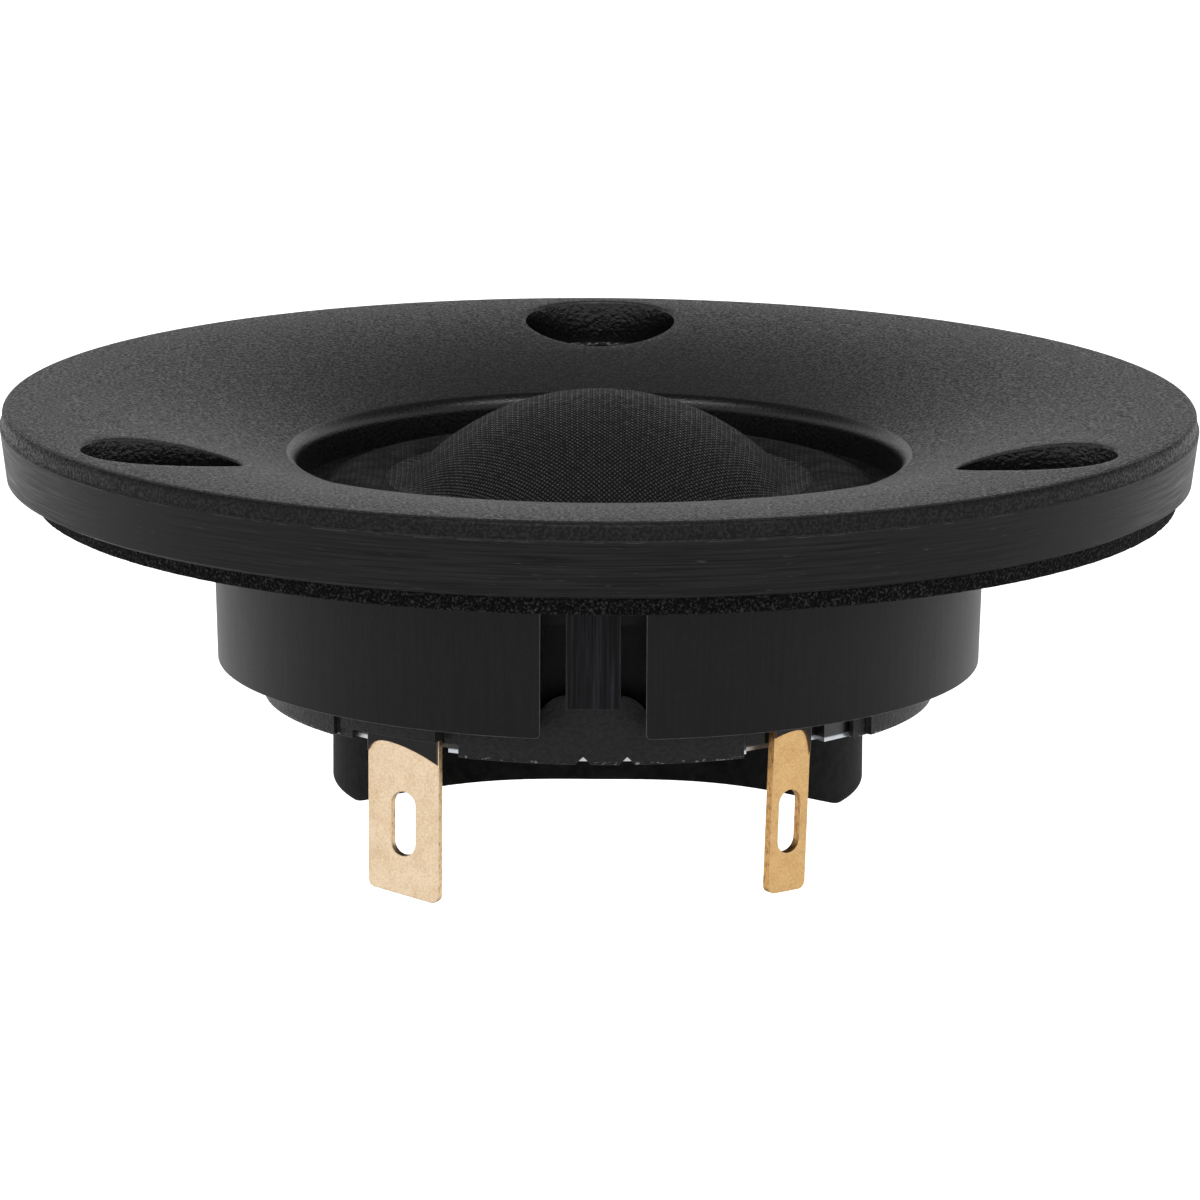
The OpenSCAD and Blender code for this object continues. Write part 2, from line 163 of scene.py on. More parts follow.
def spin_section(bm, section, steps, closed=True, turn=math.tau, start=0.0):
    """Turns a half section about the Z axis; a closed one that stops short gets end caps."""
    verts = [bm.verts.new((r, 0, z)) for r, z in section]
    ends = verts[1:] + verts[:1] if closed else verts[1:]
    edges = [bm.edges.new(pair) for pair in zip(verts, ends)]
    full = math.isclose(turn, math.tau)
    bmesh.ops.rotate(bm, verts=verts, cent=(0, 0, 0), matrix=Matrix.Rotation(start, 3, "Z"))
    bmesh.ops.spin(bm, geom=verts + edges, cent=(0, 0, 0), axis=(0, 0, 1), angle=turn,
                   steps=steps, use_merge=full, use_duplicate=False)
    bmesh.ops.remove_doubles(bm, verts=bm.verts, dist=SAME_POINT)
    if closed and not full:
        bmesh.ops.holes_fill(bm, edges=[e for e in bm.edges if e.is_boundary], sides=0)
    bmesh.ops.recalc_face_normals(bm, faces=bm.faces)


def edges_over(bm, angle):
    """Edges where the surface turns by more than angle degrees."""
    return [e for e in bm.edges
            if len(e.link_faces) == 2 and e.calc_face_angle(0) > math.radians(angle)]


def round_edges(bm, edges, width, segments):
    """Rounds edges and returns the new faces."""
    return bmesh.ops.bevel(bm, geom=edges, offset=width, offset_type="OFFSET", affect="EDGES",
                           segments=segments, profile=0.5, material=-1, clamp_overlap=True)["faces"]


def cad_copy(name):
    """A bmesh of a CAD node with its triangles joined into whole faces."""
    bm = bmesh.new()
    bm.from_mesh(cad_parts[name].data)
    bmesh.ops.remove_doubles(bm, verts=bm.verts, dist=10 * SAME_POINT)
    flat = math.radians(0.5)
    bmesh.ops.dissolve_limit(bm, angle_limit=flat, verts=bm.verts, edges=bm.edges,
                             use_dissolve_boundaries=False, delimit={"NORMAL"})
    return bm


def make_piece(bm, name, materials, smooth=30):
    """Turns a bmesh into an object at the origin, shaded smooth below the angle smooth."""
    mesh = bpy.data.meshes.new(name)
    bm.to_mesh(mesh)
    bm.free()
    for finish in materials:
        mesh.materials.append(finish)
    mesh.polygons.foreach_set("use_smooth", [True] * len(mesh.polygons))
    mesh.set_sharp_from_angle(angle=math.radians(smooth))
    piece = bpy.data.objects.new(name, mesh)
    bpy.context.scene.collection.objects.link(piece)
    return piece


def soften(piece, width, segments=2, angle=35, finish=-1):
    """Rounds a CAD copy's edges by a Bevel modifier; finish is the material number they get."""
    bevel = piece.modifiers.new("edge rounding", "BEVEL")
    bevel.width = width
    bevel.segments = segments
    bevel.limit_method = "ANGLE"
    bevel.angle_limit = math.radians(angle)
    bevel.harden_normals = True
    bevel.material = finish


def settle(piece, body, slot, *nodes):
    """Puts a finished piece on its body, in the place of its CAD nodes."""
    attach(piece, body)
    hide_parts(*nodes)


def ring_loop(bm, edges, radius, height, centre):
    """Extrudes a loop of edges to a new radius and height about a vertical axis."""
    made = bmesh.ops.extrude_edge_only(bm, edges=edges)["geom"]
    verts = [v for v in made if isinstance(v, bmesh.types.BMVert)]
    fresh = set(verts)
    for v in verts:
        out = (v.co.xy - centre).normalized() * radius
        v.co = (centre.x + out.x, centre.y + out.y, height(centre + out))
    return [e for e in made if isinstance(e, bmesh.types.BMEdge) and set(e.verts) <= fresh]


def clear_skin(bm, centre, reach, up):
    """Removes the faces around a bore, on the side up (1 or -1), and returns the open edges."""
    level = 0.5  # the least share of a face's normal that points that way
    near = [f for f in bm.faces if f.normal.z * up > level
            and any((v.co.xy - centre).length < reach for v in f.verts)]
    bmesh.ops.delete(bm, geom=near, context="FACES")
    return [e for e in bm.edges if e.is_boundary]


def bore(bm, centre, top_height, loops):
    """Cuts a stepped bore: loops holds (radius, height) from the top skin to the bottom one."""
    radius, margin = loops[0][0], 0.5 * MM
    open_edges = clear_skin(bm, centre, radius + margin, 1)
    ring = bmesh.ops.create_circle(bm, cap_ends=False, radius=radius, segments=72,
                                   matrix=Matrix.Translation((centre.x, centre.y, 0)))["verts"]
    for v in ring:
        v.co.z = top_height(v.co.xy)
    edges = list(dict.fromkeys(e for v in ring for e in v.link_edges))
    bmesh.ops.triangle_fill(bm, edges=open_edges + edges, use_beauty=True, normal=(0, 0, 1))
    for radius, height in loops[1:]:
        edges = ring_loop(bm, edges, radius, height, centre)
    open_edges = [e for e in clear_skin(bm, centre, radius + margin, -1) if e not in edges]
    bmesh.ops.triangle_fill(bm, edges=open_edges + edges, use_beauty=True, normal=(0, 0, -1))


def screw_places(sizes):
    """Centres of the three screws, the first on the side away from the terminals."""
    for degrees in (90, 210, 330):
        angle = math.radians(degrees)
        yield Vector((math.cos(angle), math.sin(angle))) * sizes.screw_circle


def at(height):
    """A level that doesn't change from place to place."""
    return lambda place: height


# ---------- material helpers ----------

def node(tree, kind, inputs=(), **own):
    """Adds a shader node with its own settings and its inputs, which are values or links."""
    made = tree.nodes.new("ShaderNode" + kind)
    for name, value in own.items():
        setattr(made, name, value)
    for key, value in inputs.items() if isinstance(inputs, dict) else enumerate(inputs):
        if isinstance(value, bpy.types.Node):
            value = next(socket for socket in value.outputs if socket.enabled)
        if isinstance(value, bpy.types.NodeSocket):
            tree.links.new(value, made.inputs[key])
        else:
            made.inputs[key].default_value = value
    return made


def new_finish(name):
    """An empty material and its node tree."""
    finish = bpy.data.materials.new(name)
    finish.use_nodes = True
    finish.node_tree.nodes.clear()
    return finish, finish.node_tree


def coat(finish, surface):
    """Closes a material with its one shader; surface holds that shader's inputs."""
    tree = finish.node_tree
    node(tree, "OutputMaterial", {"Surface": node(tree, "BsdfPrincipled", surface)})
    return finish


def darker(tint, shares):
    """A linear colour with its red, green and blue cut to shares of themselves."""
    return [c * s for c, s in zip(tint, shares)] + [1.0]


def mottle(tree, spacing, stretch=(1, 1, 1), shift=0.0, detail=2.0, rough=0.5):
    """Noise with spots of a real size in mm, drawn out along X, Y and Z by stretch."""
    place = node(tree, "TexCoord").outputs["Object"]
    scale = [1 / (MM * spacing * s) for s in stretch]
    grid = node(tree, "Mapping", {"Vector": place, "Scale": scale, "Location": (shift,) * 3})
    return node(tree, "TexNoise", {"Vector": grid, "Scale": 1.0, "Detail": detail,
                                   "Roughness": rough})


def above(tree, low, high):
    """Goes from 0 at the height low to 1 at the height high, both in mm."""
    place = node(tree, "TexCoord").outputs["Object"]
    level = node(tree, "SeparateXYZ", [place]).outputs["Z"]
    return node(tree, "MapRange", [level, low * MM, high * MM])


def weave(tree):
    """Height of a plain weave, from 0 in the holes to 1 on the crowns of the threads."""
    laid = node(tree, "SeparateXYZ", [node(tree, "UVMap", uv_map="threads")])
    turns = [node(tree, "Math", [laid.outputs[i], math.pi], operation="MULTIPLY") for i in (0, 1)]
    waves = [node(tree, "Math", [turn], operation="SINE") for turn in turns]
    parity = node(tree, "Math", waves, operation="MULTIPLY")
    side = node(tree, "MapRange", [parity, -0.08, 0.08])
    across = [node(tree, "Math", [wave], operation="ABSOLUTE") for wave in waves]
    # A thread's crown is broad along the thread and narrow across it
    broad = [node(tree, "Math", [wave, 0.5], operation="POWER") for wave in across]
    narrow = [node(tree, "Math", [wave, 2.2], operation="POWER") for wave in across]
    warp = node(tree, "Math", [broad[0], narrow[1]], operation="MULTIPLY")
    weft = node(tree, "Math", [broad[1], narrow[0]], operation="MULTIPLY")
    low_weft = node(tree, "Math", [weft, 0.75], operation="MULTIPLY")
    both = node(tree, "Mix", {0: side, 2: warp, 3: low_weft}, data_type="FLOAT")
    uneven = node(tree, "MapRange", [mottle(tree, 0.5, detail=3), 0.3, 0.7, 0.6, 1.2])
    return node(tree, "Math", [both, uneven], operation="MULTIPLY")


# ---------- finishes ----------

def spark_eroded_abs(colours, name, gloss, speck):
    # ABS moulded in a spark-eroded tool: a matt salt-and-pepper grain. The real grain is finer
    # than 0.1 mm and is drawn 0.19 mm across, so that it shows
    finish, tree = new_finish(name)
    grain = mottle(tree, 0.19)
    specks = node(tree, "MapRange", [grain, 0.45, 0.66])
    return coat(finish, {
        "Base Color": node(tree, "Mix", {0: specks, 6: colours.plate, 7: speck}, data_type="RGBA"),
        "Roughness": node(tree, "MapRange", [grain, 0.35, 0.65, 0.7, 0.36]),
        "Specular IOR Level": gloss,
        "Normal": node(tree, "Bump", {"Height": grain, "Strength": 0.7, "Distance": 0.05 * MM})})


def lip_abs():
    # The lip and throat, wiped smoother in the tool: the same grain, drawn as coarse, but lower
    # and with a soft shine
    finish, tree = new_finish("ABS satin lip")
    grain = mottle(tree, 0.18)
    return coat(finish, {
        "Base Color": paint("#070708"),
        "Roughness": node(tree, "MapRange", [grain, 0.3, 0.7, 0.42, 0.24]),
        "Specular IOR Level": 0.42,
        "Normal": node(tree, "Bump", {"Height": grain, "Strength": 0.6, "Distance": 0.04 * MM})})


def turned_abs():
    # ABS skimmed on its edge: lines round the rim, with a few pale scratches and a pale line at
    # its top. The real lines are finer than 0.1 mm and are drawn 0.11 mm wide, so that they show
    finish, tree = new_finish("ABS turned black")
    lines = mottle(tree, 0.11, (60, 60, 1), detail=4, rough=0.65)
    strokes = mottle(tree, 0.12, (14, 14, 1), shift=7)
    dense = node(tree, "MapRange", [strokes, 0.5, 0.56])
    pale = node(tree, "Math", [dense, above(tree, 3.55, 3.57)], operation="MULTIPLY")
    sparse = node(tree, "MapRange", [strokes, 0.7, 0.78])
    shown = node(tree, "Math", [pale, sparse], operation="MAXIMUM")
    share = node(tree, "MapRange", [lines, 0.35, 0.68])
    ground = node(tree, "Mix", {0: share, 6: paint("#050505"), 7: paint("#202021")},
                  data_type="RGBA")
    return coat(finish, {
        "Base Color": node(tree, "Mix", {0: shown, 6: ground, 7: paint("#39393a")},
                           data_type="RGBA"),
        "Roughness": node(tree, "MapRange", [lines, 0.3, 0.7, 0.34, 0.6]),
        "Specular IOR Level": 0.13,
        "Normal": node(tree, "Bump", {"Height": lines, "Strength": 0.7, "Distance": 0.03 * MM})})


def seat_abs():
    # ABS in the screw seats, where the tool was left bright: black and sparkling
    finish, tree = new_finish("ABS glossy black")
    ripple = mottle(tree, 0.28, detail=3)
    return coat(finish, {
        "Base Color": paint("#08080a"), "Roughness": 0.2, "Specular IOR Level": 0.5,
        "Normal": node(tree, "Bump", {"Height": ripple, "Strength": 0.8, "Distance": 0.06 * MM})})


def foam(colours):
    # Closed-cell EVA foam cut to a ring: dull and granular, with pale torn cell walls
    finish, tree = new_finish("EVA foam closed cell")
    place = node(tree, "TexCoord").outputs["Object"]
    grid = node(tree, "Mapping", {"Vector": place, "Scale": (1 / (0.26 * MM),) * 3})
    cells = node(tree, "TexVoronoi", {"Vector": grid, "Scale": 1.0}).outputs["Distance"]
    walls = node(tree, "MapRange", [mottle(tree, 0.16, detail=3), 0.5, 0.76])
    return coat(finish, {
        "Base Color": node(tree, "Mix", {0: walls, 6: colours.foam, 7: colours.foam_wall},
                           data_type="RGBA"),
        "Roughness": 0.92, "Specular IOR Level": 0.12,
        "Normal": node(tree, "Bump", {"Height": cells, "Strength": 1.0, "Distance": 0.12 * MM})})


def moulded_pbt(colours):
    # Glass-filled PBT drawn from its mould along the axis: an even satin with faint upright lines
    finish, tree = new_finish("PBT glass filled grey")
    lines = mottle(tree, 0.2, (1, 1, 30), detail=3)
    fine = mottle(tree, 0.12, (1, 1, 2), shift=9)
    both = node(tree, "Mix", {0: 0.5, 2: lines, 3: fine}, data_type="FLOAT")
    share = node(tree, "MapRange", [both, 0.3, 0.7])
    return coat(finish, {
        "Base Color": node(tree, "Mix", {0: share, 6: colours.housing, 7: colours.housing_line},
                           data_type="RGBA"),
        "Roughness": node(tree, "MapRange", [both, 0.3, 0.7, 0.5, 0.44]),
        "Specular IOR Level": 0.14,
        "Normal": node(tree, "Bump", {"Height": fine, "Strength": 0.5, "Distance": 0.006 * MM})})


def cast_pbt(colours):
    # The carrier's PBT, rough as it left a worn mould, with pale dashes along its lower edge
    finish, tree = new_finish("PBT rough black")
    skin = mottle(tree, 0.2, (1.6, 1.6, 1), shift=11, detail=4, rough=0.65)
    share = node(tree, "MapRange", [skin, 0.35, 0.7])
    ring = node(tree, "Mix", {0: share, 6: paint("#060606"), 7: colours.carrier}, data_type="RGBA")
    pale_dashes = node(tree, "MapRange", [skin, 0.56, 0.62])
    dashed_edge = node(tree, "Math", [pale_dashes, above(tree, -13.7, -13.8)], operation="MULTIPLY")
    return coat(finish, {
        "Base Color": node(tree, "Mix", {0: dashed_edge, 6: ring, 7: paint("#8a8a8a")}, data_type="RGBA"),
        "Roughness": node(tree, "MapRange", [skin, 0.3, 0.7, 0.36, 0.62]),
        "Specular IOR Level": 0.22,
        "Normal": node(tree, "Bump", {"Height": skin, "Strength": 0.8, "Distance": 0.1 * MM})})


def scratched_pbt():
    # The locating rib, rubbed by fitting: bluish black with long upright scratches
    finish, tree = new_finish("PBT scratched bluish black")
    lines = mottle(tree, 0.16, (1, 1, 30), shift=3, detail=4)
    share = node(tree, "MapRange", [lines, 0.42, 0.72])
    return coat(finish, {
        "Base Color": node(tree, "Mix", {0: share, 6: paint("#050507"), 7: paint("#202127")},
                           data_type="RGBA"),
        "Roughness": node(tree, "MapRange", [lines, 0.3, 0.7, 0.6, 0.36]),
        "Specular IOR Level": 0.12,
        "Normal": node(tree, "Bump", {"Height": lines, "Strength": 0.6, "Distance": 0.03 * MM})})


def edge_highlight_pbt():
    # Painted highlight on the moulded edges: a thin light line round each part, painted pale where
    # the rounded edges would catch the light
    finish, tree = new_finish("PBT painted edge highlight")
    highlight_share = node(tree, "MapRange", [mottle(tree, 0.5, detail=3), 0.35, 0.65])
    return coat(finish, {
        "Base Color": node(tree, "Mix", {0: highlight_share, 6: paint("#1a1a1a"), 7: paint("#3e3e3e")},
                           data_type="RGBA"),
        "Roughness": 0.4, "Specular IOR Level": 0.5})


def plated_brass(name, ground):
    # Brass flashed with gold after stamping: satin, with an uneven frost. The real frost is finer
    # than 0.05 mm and is drawn 0.14 mm across, so that it shows
    finish, tree = new_finish(name)
    frost = mottle(tree, 0.14, detail=4, rough=0.7)
    drift = mottle(tree, 1.2, shift=5, detail=3)
    both = node(tree, "Mix", {0: 0.35, 2: frost, 3: drift}, data_type="FLOAT")
    share = node(tree, "MapRange", [both, 0.36, 0.58])
    dulled = darker(ground, (0.82, 0.74, 0.66))
    return coat(finish, {
        "Base Color": node(tree, "Mix", {0: share, 6: dulled, 7: ground}, data_type="RGBA"),
        "Roughness": node(tree, "MapRange", [frost, 0.3, 0.7, 0.5, 0.34]),
        "Metallic": 1.0,
        "Normal": node(tree, "Bump", {"Height": frost, "Strength": 0.6, "Distance": 0.02 * MM})})


def sheared_brass(name, ground):
    # Brass where the press tore through it: browner, with upright dark tears
    finish, tree = new_finish(name)
    tears = mottle(tree, 0.14, (1, 1, 2.5), shift=2, detail=4, rough=0.7)
    share = node(tree, "MapRange", [tears, 0.38, 0.5])
    brown, warm = darker(ground, (0.42, 0.3, 0.22)), darker(ground, (0.95, 0.85, 0.7))
    return coat(finish, {
        "Base Color": node(tree, "Mix", {0: share, 6: brown, 7: warm}, data_type="RGBA"),
        "Roughness": 0.45, "Metallic": 1.0,
        "Normal": node(tree, "Bump", {"Height": tears, "Strength": 0.8, "Distance": 0.05 * MM})})


def lacquer(colours):
    # Brushed-on sealing lacquer: black with slow waves and a few bright points
    finish, tree = new_finish("lacquer black")
    waves = mottle(tree, 0.3, detail=4)
    return coat(finish, {
        "Base Color": colours.lacquer, "Roughness": 0.3, "Specular IOR Level": 0.2,
        "Normal": node(tree, "Bump", {"Height": waves, "Strength": 0.7, "Distance": 0.06 * MM})})


def thin_lacquer():
    # The lacquer's feathered edge, where the gold shows through it brown
    return coat(new_finish("lacquer thin brown")[0], {
        "Base Color": paint("#4a2f1c"), "Roughness": 0.35, "Specular IOR Level": 0.4})


def satin_abs(colours):
    # ABS from a blasted tool: deep matt black, slightly uneven
    finish, tree = new_finish("ABS matt black")
    haze = node(tree, "MapRange", [mottle(tree, 0.7, detail=4), 0.35, 0.7])
    grit = mottle(tree, 0.14, shift=4)
    return coat(finish, {
        "Base Color": node(tree, "Mix", {0: haze, 6: colours.chamber, 7: paint("#141414")},
                           data_type="RGBA"),
        "Roughness": 0.7, "Specular IOR Level": 0.06,
        "Normal": node(tree, "Bump", {"Height": grit, "Strength": 0.6, "Distance": 0.02 * MM})})


def zinc_plated(name, black_from):
    # Low-carbon steel, zinc plated in a barrel: bright with a soft haze, and painted black above
    # the given height, in mm: painted shade, where the slots shade the plate
    finish, tree = new_finish(name)
    haze = mottle(tree, 0.4, detail=3)
    share = above(tree, black_from - 0.05, black_from + 0.05)
    return coat(finish, {
        "Base Color": node(tree, "Mix", {0: share, 6: paint("#b4b8bc"), 7: paint("#060606")},
                           data_type="RGBA"),
        "Roughness": node(tree, "MapRange", [haze, 0.3, 0.7, 0.27, 0.42]),
        "Metallic": node(tree, "MapRange", [share, 0, 1, 1, 0])})


def woven_cloth(colours):
    # Plain-woven silk doped with black resin: each thread crosses over as a small pillow, and the
    # pillow tops are painted pale as a painted sheen
    finish, tree = new_finish("silk plain weave doped black")
    crown = weave(tree)
    share = node(tree, "MapRange", [crown, 0.25, 0.9])
    return coat(finish, {
        "Base Color": node(tree, "Mix", {0: share, 6: colours.cloth, 7: colours.cloth_crown_sheen},
                           data_type="RGBA"),
        "Roughness": node(tree, "MapRange", [crown, 0.2, 0.8, 0.9, 0.34]),
        "Specular IOR Level": 0.24,
        "Normal": node(tree, "Bump", {"Height": crown, "Strength": 1.0, "Distance": 0.14 * MM})})


def coated_cloth(colours):
    # The surround's silk under a thick damping coat: dark, with the threads half filled
    finish, tree = new_finish("silk damped black")
    thin = node(tree, "MapRange", [mottle(tree, 1.5), 0.35, 0.65, 0.4, 1.0])
    shown = node(tree, "Math", [weave(tree), thin], operation="MULTIPLY")
    share = node(tree, "MapRange", [shown, 0.2, 0.9])
    return coat(finish, {
        # The pale colour of the crowns is a painted sheen on the tops of the threads
        "Base Color": node(tree, "Mix", {0: share, 6: colours.cloth, 7: paint("#2e2e30")},
                           data_type="RGBA"),
        "Roughness": node(tree, "MapRange", [shown, 0.1, 0.8, 0.8, 0.45]),
        "Specular IOR Level": 0.1,
        "Normal": node(tree, "Bump", {"Height": shown, "Strength": 0.8, "Distance": 0.06 * MM})})


def plain_metal(name, base, roughness, spacing=0.2, stretch=(1, 1, 1)):
    """A bare metal with the grain of how it was worked."""
    finish, tree = new_finish(name)
    grain = mottle(tree, spacing, stretch, detail=3)
    return coat(finish, {
        "Base Color": base, "Metallic": 1.0,
        "Roughness": node(tree, "MapRange", [grain, 0.3, 0.7, roughness * 0.8, roughness * 1.25]),
        "Normal": node(tree, "Bump", {"Height": grain, "Strength": 0.5, "Distance": 0.01 * MM})})


def plain_dull(name, dark, light, roughness, spacing=0.3, depth=0.03):
    """A dull material with the grain of its fibres, grit or skin."""
    finish, tree = new_finish(name)
    grain = mottle(tree, spacing, detail=4)
    share = node(tree, "MapRange", [grain, 0.35, 0.7])
    return coat(finish, {
        "Base Color": node(tree, "Mix", {0: share, 6: dark, 7: light}, data_type="RGBA"),
        "Roughness": roughness,
        "Normal": node(tree, "Bump", {"Height": grain, "Strength": 0.7, "Distance": depth * MM})})


# ---------- operators ----------

class BuildStage(bpy.types.Operator):
    """Makes the camera, the pale floor and the soft studio light"""
    bl_idname = "tweeter.build_stage"
    bl_label = "Stage"

    def execute(self, context):
        scene = context.scene
        lens = bpy.data.cameras.new("camera")
        lens.lens, lens.sensor_width = 252.77, 36
        lens.clip_start, lens.clip_end = 0.01, 50
        camera = bpy.data.objects.new("camera", lens)
        place = Vector((0.0935, -527.23, 105.93)) * MM
        pitch, roll = math.radians(77.795), math.radians(0.298)
        turn = Matrix.Rotation(pitch, 4, "X") @ Matrix.Rotation(roll, 4, "Z")
        camera.matrix_world = Matrix.Translation(place) @ turn
        scene.collection.objects.link(camera)
        scene.camera = camera
        scene.view_settings.view_transform = "Standard"

        # Opal acrylic on a light table: a pale ground, lit from below away from the object
        dark_until, lit_from, glow = 0.32, 0.52, 0.85
        board, tree = new_finish("acrylic opal white")
        place = node(tree, "TexCoord").outputs["Object"]
        away = node(tree, "VectorMath", [place], operation="LENGTH").outputs["Value"]
        coat(board, {
            "Base Color": paint("#d0d0d0"), "Roughness": 0.9, "Emission Color": WHITE,
            "Emission Strength": node(tree, "MapRange", [away, dark_until, lit_from, 0.0, glow],
                                      interpolation_type="SMOOTHSTEP")})
        level, half_side = -0.2, 8
        bm = bmesh.new()
        bmesh.ops.create_grid(bm, x_segments=1, y_segments=1, size=half_side)
        bmesh.ops.translate(bm, verts=bm.verts, vec=(0, 0, level))
        make_piece(bm, "floor", [board])

        # A white studio: bright walls up to about 20 degrees, a dim ceiling, and a long soft light
        # in front. Heights are sines of the angle above the horizon
        wall_top, ceiling_from, ceiling = 0.28, 0.6, 0.1
        low, low_full, high_full, high, strength = 0.66, 0.74, 0.82, 0.9, 7.0
        side, front_full = 0.15, 0.45
        world = bpy.data.worlds.new("studio")
        world.use_nodes = True
        tree = world.node_tree
        tree.nodes.clear()
        way = node(tree, "SeparateXYZ", [node(tree, "TexCoord").outputs["Generated"]])
        up = way.outputs["Z"]
        front = node(tree, "Math", [way.outputs["Y"], -1.0], operation="MULTIPLY")
        walls = node(tree, "MapRange", [up, wall_top, ceiling_from, 1.0, ceiling],
                     interpolation_type="SMOOTHSTEP")
        rise = node(tree, "MapRange", [up, low, low_full])
        fall = node(tree, "MapRange", [up, high_full, high, 1.0, 0.0])
        strip = node(tree, "Math", [rise, fall], operation="MULTIPLY")
        facing = node(tree, "MapRange", [front, side, front_full, 0.0, strength])
        lamp = node(tree, "Math", [strip, facing], operation="MULTIPLY")
        light = node(tree, "Math", [walls, lamp], operation="ADD")
        sky = node(tree, "Background", {"Color": WHITE, "Strength": light})
        node(tree, "OutputWorld", {"Surface": sky})
        scene.world = world
        return {"FINISHED"}


class BuildFaceplate(bpy.types.Operator):
    """Turns the dished faceplate and sinks its three screw seats"""
    bl_idname = "tweeter.build_faceplate"
    bl_label = "Faceplate"

    def execute(self, context):
        sizes, colours = context.scene.tweeter_sizes, context.scene.tweeter_colours
        top, rim = sizes.plate_top, sizes.rim_radius
        throat, lip, dish = sizes.throat_radius, sizes.lip_radius, sizes.dish_radius

        # The dish and the lip are arcs that meet smoothly; the crest is the dish's highest line
        wall, joint, rounding = rim - 0.15 * MM, 3.7 * MM, 0.45 * MM
        crest = wall - 1.0 * MM
        dish_centre = (crest, top - dish)
        lip_x = throat + lip
        lip_centre = (lip_x, dish_centre[1] + math.sqrt((dish - lip) ** 2 - (crest - lip_x) ** 2))
        lip_turn = math.degrees(math.atan2(lip_centre[1] - dish_centre[1], lip_x - crest))

        # The side leans in by its draft, from its widest line down to a chamfer at the rear
        widest, draft, chamfer_in, chamfer_up = 3.6 * MM, 0.42 * MM, 0.6 * MM, 0.3 * MM
        foot = rim - draft - chamfer_in
        clamp_radius, clamp_face, rings = 21.3 * MM, -0.8 * MM, 16
        section = [(throat, clamp_face), (clamp_radius, clamp_face)]
        section += [(clamp_radius + (foot - clamp_radius) * i / rings, 0) for i in range(rings + 1)]
        section += [(rim - draft, chamfer_up), (rim - draft / 2, (chamfer_up + widest) / 2),
                    (rim, widest), (wall, joint)]
        section += arc((wall - rounding, top - rounding), rounding, 0, 90, 10)
        section += arc(dish_centre, dish, 90, lip_turn, 30)
        section += arc(lip_centre, lip, lip_turn + 5, 180, 14)
        bm = bmesh.new()
        spin_section(bm, section, 300)

        def dish_height(place):
            return dish_centre[1] + math.sqrt(dish ** 2 - (crest - min(place.length, crest)) ** 2)

        # Each seat has a rounded upper corner, a flat floor and a hole with its edge broken
        seat, floor, corner = sizes.seat_radius, sizes.seat_floor, 0.18 * MM
        hole, broken, draw_in, floor_ring = 2.1 * MM, 0.1 * MM, 0.02 * MM, 3.4 * MM
        turns = (0, math.pi / 6, math.pi / 3, math.pi / 2)
        shoulder = [(seat + corner * (1 - math.sin(a)), corner * (1 - math.cos(a))) for a in turns]
        loops = [(r, lambda place, drop=drop: dish_height(place) - drop) for r, drop in shoulder]
        loops += [(seat - draw_in, at(floor + corner)), (seat - corner, at(floor)),
                  (floor_ring, at(floor)), (hole + broken, at(floor)),
                  (hole, at(floor - broken)), (hole, at(0))]
        for place in screw_places(sizes):
            bore(bm, place, dish_height, loops)
        bmesh.ops.recalc_face_normals(bm, faces=bm.faces)

        grained, turned, bright, rim_grained_shaded, satin = range(5)
        hair, margin, level, wiped = 0.001 * MM, 1 * MM, 0.8, 0.8 * lip
        for face in bm.faces:
            middle = face.calc_center_median()
            out = middle.xy.length
            in_seat = any((middle.xy - place).length < seat - hair for place in screw_places(sizes))
            if in_seat and middle.z > hair:
                face.material_index = bright
            elif out > foot - margin and middle.z < widest:
                face.material_index = turned
            elif out > crest and face.normal.z < level:
                face.material_index = rim_grained_shaded
            elif out < throat + wiped:
                face.material_index = satin
            else:
                face.material_index = grained
        # The rim's side band takes a copy of the grain with darker specks and less shine: painted
        # shade on the side of the rim
        piece = make_piece(bm, "faceplate_dished", [
            spark_eroded_abs(colours, "ABS spark eroded black", 0.5, colours.plate_speck),
            turned_abs(), seat_abs(),
            spark_eroded_abs(colours, "ABS spark eroded rim, painted shade", 0.15, paint("#1b1b1c")), lip_abs()])
        settle(piece, "root", "faceplate", "faceplate")
        return {"FINISHED"}


class BuildGasket(bpy.types.Operator):
    """Makes the foam gasket, with open cells along its cut edge"""
    bl_idname = "tweeter.build_gasket"
    bl_label = "Foam gasket"

    def execute(self, context):
        sizes, colours = context.scene.tweeter_sizes, context.scene.tweeter_colours
        low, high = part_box("foam_gasket")
        outer, inner, off_centre = (high.x - low.x) / 2, 24.75 * MM, (high.x + low.x) / 2
        corner, hole, rings, layers = 0.12 * MM, 2.4 * MM, 14, 8
        flat = [inner + (outer - corner - inner) * i / rings for i in range(rings + 1)]
        section = [(r, low.z) for r in flat]
        section += arc((outer - corner, low.z + corner), corner, -60, 0, 2)
        section += [(outer, low.z + (high.z - low.z) * i / layers) for i in range(2, layers - 1)]
        section += arc((outer - corner, high.z - corner), corner, 0, 90, 3)
        section += [(r, high.z) for r in reversed(flat[:-1])]
        bm = bmesh.new()
        spin_section(bm, section, 480)
        for place in screw_places(sizes):
            bore(bm, place, at(high.z), [(hole, at(high.z)), (hole, at(low.z))])
        bmesh.ops.recalc_face_normals(bm, faces=bm.faces)

        # Open cells roughen the cut edge, mostly sinking into it, and the edge sits off centre
        cell_width, sink = 0.35 * MM, 0.4
        for v in bm.verts:
            out = v.co.xy.length
            if out > outer - 2 * corner:
                cell = noise.noise(v.co / cell_width) - sink
                v.co.xy *= 1 + sizes.foam_grain * cell / out
                v.co.x += off_centre
        piece = make_piece(bm, "foam_gasket_cut", [foam(colours)], smooth=50)
        settle(piece, "root", "foam_gasket", "foam_gasket")
        return {"FINISHED"}


